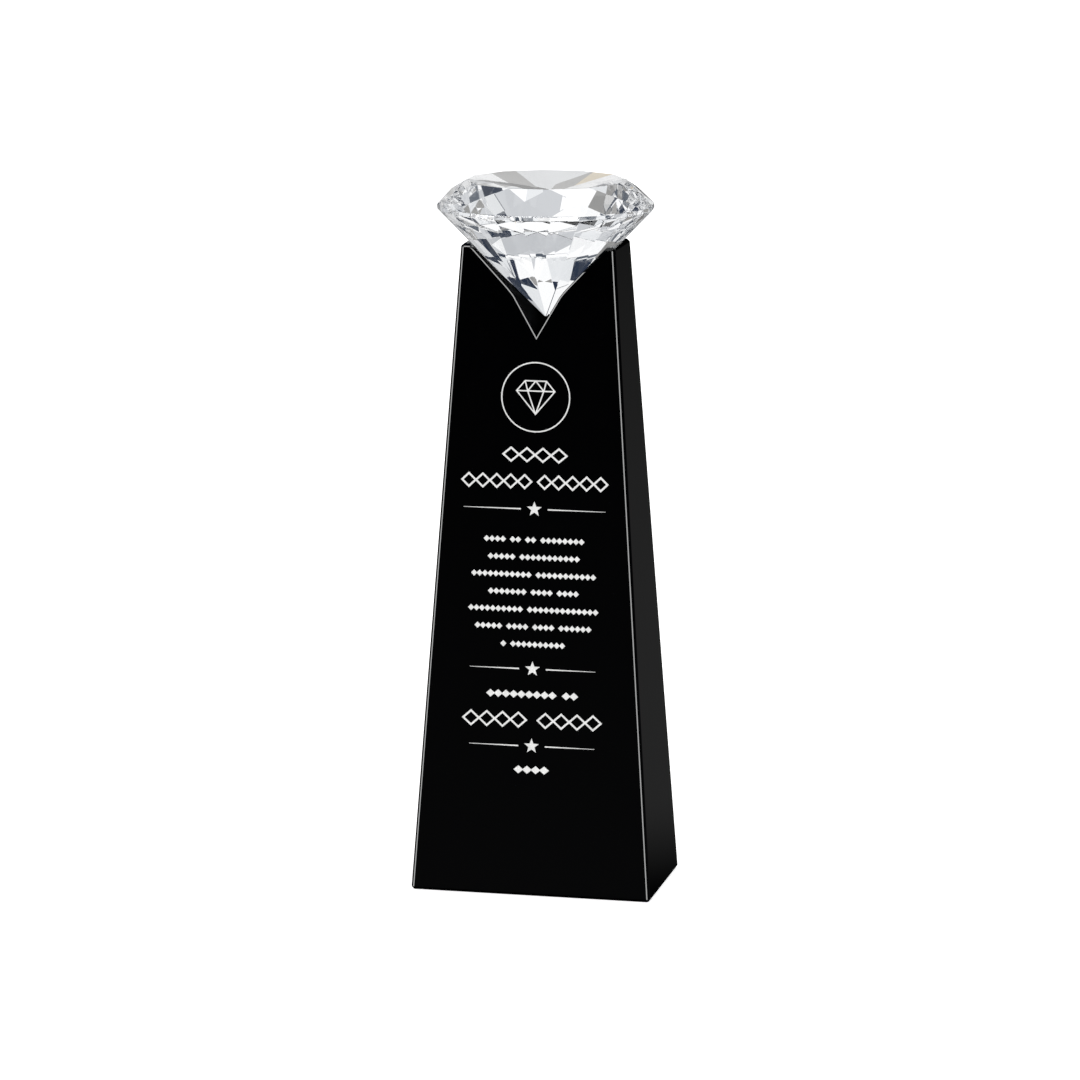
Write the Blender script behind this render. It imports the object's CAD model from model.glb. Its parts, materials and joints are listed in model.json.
import json
import math

import bmesh
import bpy
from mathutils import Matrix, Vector


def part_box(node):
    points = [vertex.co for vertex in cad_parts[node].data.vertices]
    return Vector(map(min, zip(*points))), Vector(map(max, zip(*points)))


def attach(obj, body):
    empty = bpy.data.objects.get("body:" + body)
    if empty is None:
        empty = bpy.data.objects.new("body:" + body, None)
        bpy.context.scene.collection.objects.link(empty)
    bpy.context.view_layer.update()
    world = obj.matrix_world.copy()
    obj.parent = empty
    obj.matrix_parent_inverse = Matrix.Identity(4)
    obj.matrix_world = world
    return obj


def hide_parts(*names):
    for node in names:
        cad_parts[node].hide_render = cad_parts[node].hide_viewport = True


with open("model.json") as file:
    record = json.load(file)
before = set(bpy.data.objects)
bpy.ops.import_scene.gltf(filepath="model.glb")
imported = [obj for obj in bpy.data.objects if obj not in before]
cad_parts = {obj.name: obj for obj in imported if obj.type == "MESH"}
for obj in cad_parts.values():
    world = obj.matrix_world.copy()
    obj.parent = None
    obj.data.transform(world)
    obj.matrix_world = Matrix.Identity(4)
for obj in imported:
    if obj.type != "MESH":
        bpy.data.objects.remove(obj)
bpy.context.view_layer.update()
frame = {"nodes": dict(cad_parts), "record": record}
nodes = frame["nodes"]

MM = 0.001

# ---- Camera: a long lens, a little to the right of the front and above it ----

CAMERA_AZIMUTH = math.radians(12.63)
CAMERA_ELEVATION = math.radians(10.93)
CAMERA_DISTANCE = 1.428
ORBIT_CENTRE = Vector((0, 0, 0.1))
AIM_LEFT = 1.6 * MM  # the picture's centre lies this far left of the orbit centre, and below it
AIM_DOWN = 2.6 * MM
LENS_MM = 170.6


def direction(azimuth, elevation):
    """A unit vector: azimuth 0 is the front, and grows toward +X."""
    flat = math.cos(elevation)
    return Vector((math.sin(azimuth) * flat, -math.cos(azimuth) * flat, math.sin(elevation)))


def add_camera():
    back = direction(CAMERA_AZIMUTH, CAMERA_ELEVATION)
    right = Vector((math.cos(CAMERA_AZIMUTH), math.sin(CAMERA_AZIMUTH), 0))
    up = back.cross(right)
    aim = ORBIT_CENTRE - right * AIM_LEFT - up * AIM_DOWN
    data = bpy.data.cameras.new("camera")
    data.lens = LENS_MM
    data.sensor_width = 36
    data.clip_end = 50
    camera = bpy.data.objects.new("camera", data)
    camera.location = ORBIT_CENTRE + back * CAMERA_DISTANCE
    camera.rotation_euler = (aim - camera.location).to_track_quat("-Z", "Y").to_euler()
    bpy.context.scene.collection.objects.link(camera)
    bpy.context.scene.camera = camera


add_camera()

# ---- Node helpers ----


class Tree:
    """Adds and links the nodes of one node tree."""

    def __init__(self, tree):
        self.tree = tree
        tree.nodes.clear()

    def node(self, kind, inputs=None, **settings):
        made = self.tree.nodes.new(kind)
        for name, value in settings.items():
            setattr(made, name, value)
        for name, value in (inputs or {}).items():
            self.feed(made.inputs[name], value)
        return made

    def feed(self, socket, value):
        if isinstance(value, bpy.types.NodeSocket):
            self.tree.links.new(value, socket)
        else:
            socket.default_value = value

    def math(self, operation, *values):
        made = self.node("ShaderNodeMath", operation=operation)
        for i, value in enumerate(values):
            self.feed(made.inputs[i], value)
        return made.outputs[0]

    def step(self, value, low, high, start=0.0, end=1.0):
        """start below low, end above high, and a smooth change between."""
        made = self.node("ShaderNodeMapRange", interpolation_type="SMOOTHSTEP")
        for i, number in enumerate((value, low, high, start, end)):
            self.feed(made.inputs[i], number)
        return made.outputs[0]

    def mix(self, factor, first, second):
        made = self.node("ShaderNodeMix", data_type="RGBA")
        for i, value in ((0, factor), (6, first), (7, second)):
            self.feed(made.inputs[i], value)
        return made.outputs[2]


def new_material(name):
    material = bpy.data.materials.new(name)
    material.use_nodes = True
    return material, Tree(material.node_tree)


def finish_material(tree, shader):
    tree.node("ShaderNodeOutputMaterial", {"Surface": shader.outputs[0]})


# ---- Materials ----


NOTCH_ROUGHNESS = 0.6  # the notch's walls are ground, not polished, and barely mirror
NOTCH_SPECULAR = 0.01
NOTCH_BOTTOM = 155 * MM
ARRIS_DEPTH = 0.12 * MM  # the notch's polished arris flats end this far inside the front and back faces
EDGE_DEPTH = 1 * MM  # the polished flats along the tower's outer edges end within this distance


def outer_face(t, z, axis):
    """How far from the tower's middle its outer face lies, along x or y, at the height z."""
    corners = [corner.co for corner in nodes["tower"].data.vertices]
    top_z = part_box("tower")[1][2]
    lower = max(corners, key=lambda corner: abs(corner[axis]))
    upper = max((corner for corner in corners if corner.z > top_z - EDGE_DEPTH), key=lambda corner: abs(corner[axis]))
    line = {0: z, 1: lower.z, 2: upper.z, 3: abs(lower[axis]), 4: abs(upper[axis])}
    return t.node("ShaderNodeMapRange", line).outputs[0]


def in_notch(t, place):
    """1 on the ground walls of the notch, which lie inside the tower's outer faces, and 0 on those faces."""
    top_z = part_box("tower")[1][2]
    x, y, z = t.node("ShaderNodeSeparateXYZ", {"Vector": place}).outputs
    inside = t.step(z, NOTCH_BOTTOM, NOTCH_BOTTOM + EDGE_DEPTH)
    inside = t.math("MULTIPLY", inside, t.step(z, top_z - 1.2 * EDGE_DEPTH, top_z - EDGE_DEPTH, 1.0, 0.0))
    for across, axis, skin in ((x, 0, EDGE_DEPTH), (y, 1, ARRIS_DEPTH)):
        depth = t.math("SUBTRACT", outer_face(t, z, axis), t.math("ABSOLUTE", across))
        inside = t.math("MULTIPLY", inside, t.step(depth, skin, 1.2 * skin))
    return inside


def black_crystal():
    """Opaque black optical crystal, polished until it mirrors, with a faint unevenness left by the polishing."""
    material, t = new_material("black_crystal")
    place = t.node("ShaderNodeTexCoord").outputs["Object"]
    cloud = t.node("ShaderNodeTexNoise", {"Vector": place, "Scale": 25.0, "Detail": 3.0}).outputs["Fac"]
    smear = t.node("ShaderNodeTexNoise", {"Vector": place, "Scale": 140.0, "Detail": 5.0}).outputs["Fac"]
    colour = t.mix(cloud, (0.0004, 0.0005, 0.0007, 1), (0.0009, 0.0010, 0.0014, 1))
    polished = t.step(smear, 0.35, 0.75, 0.02, 0.06)
    ground = in_notch(t, place)
    roughness = t.node("ShaderNodeMix", {0: ground, 2: polished, 3: NOTCH_ROUGHNESS}).outputs[0]
    specular = t.node("ShaderNodeMix", {0: ground, 2: 0.5, 3: NOTCH_SPECULAR}).outputs[0]
    wave = t.node("ShaderNodeBump", {"Height": cloud, "Strength": 0.03, "Distance": 0.1 * MM})
    shader = t.node(
        "ShaderNodeBsdfPrincipled",
        {
            "Base Color": colour,
            "Roughness": roughness,
            "IOR": 1.52,
            "Specular IOR Level": specular,
            "Normal": wave.outputs[0],
        },
    )
    finish_material(t, shader)
    return material


def clear_crystal():
    """Clear optical crystal with polished facets."""
    material, t = new_material("clear_crystal")
    shader = t.node(
        "ShaderNodeBsdfPrincipled",
        {"Base Color": (0.985, 0.992, 1.0, 1), "Roughness": 0.0, "IOR": 1.52, "Transmission Weight": 1.0},
    )
    finish_material(t, shader)
    return material


def cured_glue():
    """A thin clear film of cured adhesive, with small specks of trapped air."""
    material, t = new_material("adhesive")
    place = t.node("ShaderNodeTexCoord").outputs["Object"]
    specks = t.node("ShaderNodeTexVoronoi", {"Vector": place, "Scale": 900.0}).outputs["Distance"]
    roughness = t.step(specks, 0.1, 0.3, 0.35, 0.06)
    shader = t.node(
        "ShaderNodeBsdfPrincipled",
        {"Base Color": (0.96, 0.97, 0.95, 1), "Roughness": roughness, "IOR": 1.5, "Transmission Weight": 1.0},
    )
    finish_material(t, shader)
    return material


def white_paint():
    """Matt white paint over sandblasted crystal: a fine grain, a little uneven in tone."""
    material, t = new_material("white_paint")
    place = t.node("ShaderNodeTexCoord").outputs["Object"]
    grain = t.node("ShaderNodeTexNoise", {"Vector": place, "Scale": 5000.0, "Detail": 3.0}).outputs["Fac"]
    patch = t.node("ShaderNodeTexNoise", {"Vector": place, "Scale": 350.0, "Detail": 4.0}).outputs["Fac"]
    tone = t.math("ADD", t.math("MULTIPLY", grain, 0.5), t.math("MULTIPLY", patch, 0.5))
    colour = t.mix(t.step(tone, 0.35, 0.6), (0.78, 0.78, 0.77, 1), (0.93, 0.93, 0.92, 1))
    bump = t.node("ShaderNodeBump", {"Height": grain, "Strength": 0.5, "Distance": 0.03 * MM})
    shader = t.node(
        "ShaderNodeBsdfPrincipled",
        {
            "Base Color": colour,
            "Roughness": t.step(grain, 0.3, 0.7, 0.7, 0.95),
            "IOR": 1.45,
            "Normal": bump.outputs[0],
        },
    )
    finish_material(t, shader)
    return material


MATERIALS = {
    "black_crystal": black_crystal(),
    "clear_crystal": clear_crystal(),
    "adhesive": cured_glue(),
    "white_paint": white_paint(),
}

for subpart in frame["record"]["subparts"]:
    node = nodes[subpart["node"]]
    node.data.materials.clear()
    node.data.materials.append(MATERIALS[subpart["material_slot"]])

# ---- Diamond: the CAD facets, with the narrow flat that polishing leaves on each edge ----

FACET_EDGE_FLAT = 0.1 * MM
SAME_PLANE = math.radians(0.3)


def cut_diamond():
    mesh = bmesh.new()
    mesh.from_mesh(nodes["diamond"].data)
    bmesh.ops.remove_doubles(mesh, verts=mesh.verts, dist=0.001 * MM)
    bmesh.ops.dissolve_limit(mesh, angle_limit=SAME_PLANE, verts=mesh.verts, edges=mesh.edges)
    bmesh.ops.bevel(
        mesh, geom=list(mesh.edges), offset=FACET_EDGE_FLAT, offset_type="OFFSET", segments=1, affect="EDGES"
    )
    data = bpy.data.meshes.new("diamond_cut")
    mesh.to_mesh(data)
    mesh.free()
    data.materials.append(MATERIALS["clear_crystal"])
    piece = bpy.data.objects.new("diamond_cut", data)
    bpy.context.scene.collection.objects.link(piece)
    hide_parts("diamond")
    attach(piece, "root")


cut_diamond()

# ---- Floor ----

FLOOR_REACH = 12.0
TABLE_GLOW = 0.6  # a light table, so that the base casts no shadow
PANEL_SEED = 55.0
PANEL_SCALE = 4.0
PANEL_TONES = (
    (0.00, (0.030, 0.042, 0.070)),
    (0.13, (0.11, 0.13, 0.16)),
    (0.21, (0.36, 0.355, 0.345)),
    (0.29, (0.78, 0.66, 0.46)),
    (0.30, (0.658, 0.672, 0.694)),
    (0.46, (0.90, 0.915, 0.93)),
    (0.62, (1.12, 1.12, 1.12)),
)


def add_floor():
    material, t = new_material("pale_floor")
    place = t.node("ShaderNodeTexCoord").outputs["Object"]
    mottle = t.node("ShaderNodeTexNoise", {"Vector": place, "Scale": 6.0, "Detail": 3.0}).outputs["Fac"]
    colour = t.mix(mottle, (0.90, 0.90, 0.90, 1), (0.93, 0.93, 0.93, 1))
    shader = t.node(
        "ShaderNodeBsdfPrincipled",
        {"Base Color": colour, "Roughness": 0.9, "Emission Color": (1, 1, 1, 1), "Emission Strength": TABLE_GLOW},
    )
    finish_material(t, shader)
    mesh = bmesh.new()
    bmesh.ops.create_grid(mesh, x_segments=1, y_segments=1, size=FLOOR_REACH)
    data = bpy.data.meshes.new("floor")
    mesh.to_mesh(data)
    mesh.free()
    data.materials.append(material)
    floor = bpy.data.objects.new("floor", data)
    floor.visible_glossy = False  # the polished faces mirror the dark studio, and not the floor
    floor.visible_transmission = False
    floor.visible_diffuse = False
    bpy.context.scene.collection.objects.link(floor)


add_floor()

# ---- Studio: a white surround, with the dark room and the strip lights that the polished faces mirror ----


RING_AZIMUTH = -CAMERA_AZIMUTH
RING_ELEVATION = math.radians(-5)
RING_RADIUS = math.radians(45)
RING_HALF_WIDTH = math.radians(3.5)
RING_STRENGTH = 9.0
BACKDROP_TOP = 0.128
BACKDROP_REACH = math.radians(17)


def add_studio():
    world = bpy.data.worlds.new("studio")
    world.use_nodes = True
    bpy.context.scene.world = world
    t = Tree(world.node_tree)
    towards = t.node("ShaderNodeTexCoord").outputs["Generated"]
    x, y, z = t.node("ShaderNodeSeparateXYZ", {"Vector": towards}).outputs

    # What mirrors see: a dark room with a dim glow under the horizon, and a ring of light round the direction
    # that the front face mirrors, which only the narrow flats beside that face catch
    axis = direction(RING_AZIMUTH, RING_ELEVATION)
    turned = t.node("ShaderNodeVectorMath", {0: towards, 1: tuple(axis)}, operation="DOT_PRODUCT").outputs["Value"]
    angle = t.math("ARCCOSINE", turned)
    off_ring = t.math("ABSOLUTE", t.math("SUBTRACT", angle, RING_RADIUS))
    ring = t.math("MULTIPLY", t.step(off_ring, RING_HALF_WIDTH, RING_HALF_WIDTH * 1.5, 1.0, 0.0), t.step(z, -0.28, -0.2))
    dim_glow = t.math("MULTIPLY", t.step(z, -0.232, -0.211), t.step(z, -0.20, -0.02, 1.0, 0.0))
    ceiling = t.step(z, 0.80, 0.95)
    mirrored = t.math("ADD", t.math("MULTIPLY", dim_glow, 0.054), t.math("MULTIPLY", ceiling, 0.25))
    mirrored = t.math("ADD", mirrored, t.math("MULTIPLY", ring, RING_STRENGTH))
    # A low backdrop light behind the award, which only the diamond's table catches
    behind = direction(math.pi + CAMERA_AZIMUTH, 0)
    facing = t.node("ShaderNodeVectorMath", {0: towards, 1: tuple(behind)}, operation="DOT_PRODUCT").outputs["Value"]
    low = t.math("MULTIPLY", t.step(z, 0.0, 0.02), t.step(z, BACKDROP_TOP - 0.002, BACKDROP_TOP + 0.002, 1.0, 0.0))
    backdrop = t.math("MULTIPLY", low, t.step(facing, math.cos(BACKDROP_REACH), math.cos(BACKDROP_REACH * 0.8)))
    mirrored = t.math("ADD", mirrored, t.math("MULTIPLY", backdrop, 0.62))
    # A tall soft box in each corner of the room, halfway between the directions that the faces look in
    flat = t.math("ADD", t.math("MULTIPLY", x, x), t.math("MULTIPLY", y, y))
    corner = t.math("DIVIDE", t.math("ABSOLUTE", t.math("MULTIPLY", x, y)), flat)
    tall = t.math("MULTIPLY", t.step(z, -0.30, -0.08), t.step(z, 0.5, 0.8, 1.0, 0.0))
    boxes = t.math("MULTIPLY", t.step(corner, 0.46, 0.50), tall)
    mirrored = t.math("ADD", mirrored, t.math("MULTIPLY", boxes, 0.5))

    # What the clear crystal gathers: white, grey and dark panels all round, which its facets break up
    shifted = t.node("ShaderNodeVectorMath", {0: towards, 1: (PANEL_SEED, 0, 0)}, operation="ADD").outputs["Vector"]
    cells = t.node("ShaderNodeTexVoronoi", {"Vector": shifted, "Scale": PANEL_SCALE})
    pick = t.node("ShaderNodeSeparateColor", {"Color": cells.outputs["Color"]}).outputs[0]
    panels = t.node("ShaderNodeValToRGB", {"Fac": pick})
    ramp = panels.color_ramp
    ramp.interpolation = "CONSTANT"
    while len(ramp.elements) < len(PANEL_TONES):
        ramp.elements.new(0.5)
    for element, (position, tone) in zip(ramp.elements, PANEL_TONES):
        element.position = position
        element.color = (*tone, 1)

    path = t.node("ShaderNodeLightPath")
    plain = 1.0
    seen = t.math("ADD", t.math("MULTIPLY", path.outputs["Is Glossy Ray"], t.math("SUBTRACT", mirrored, plain)), plain)
    seen = t.mix(path.outputs["Is Transmission Ray"], seen, panels.outputs["Color"])
    background = t.node("ShaderNodeBackground", {"Color": seen, "Strength": 1.0})
    t.node("ShaderNodeOutputWorld", {"Surface": background.outputs[0]})


add_studio()

# ---- Render settings that belong to the look ----

scene = bpy.context.scene
scene.view_settings.view_transform = "Standard"
scene.cycles.max_bounces = 64
scene.cycles.glossy_bounces = 64
scene.cycles.transmission_bounces = 64
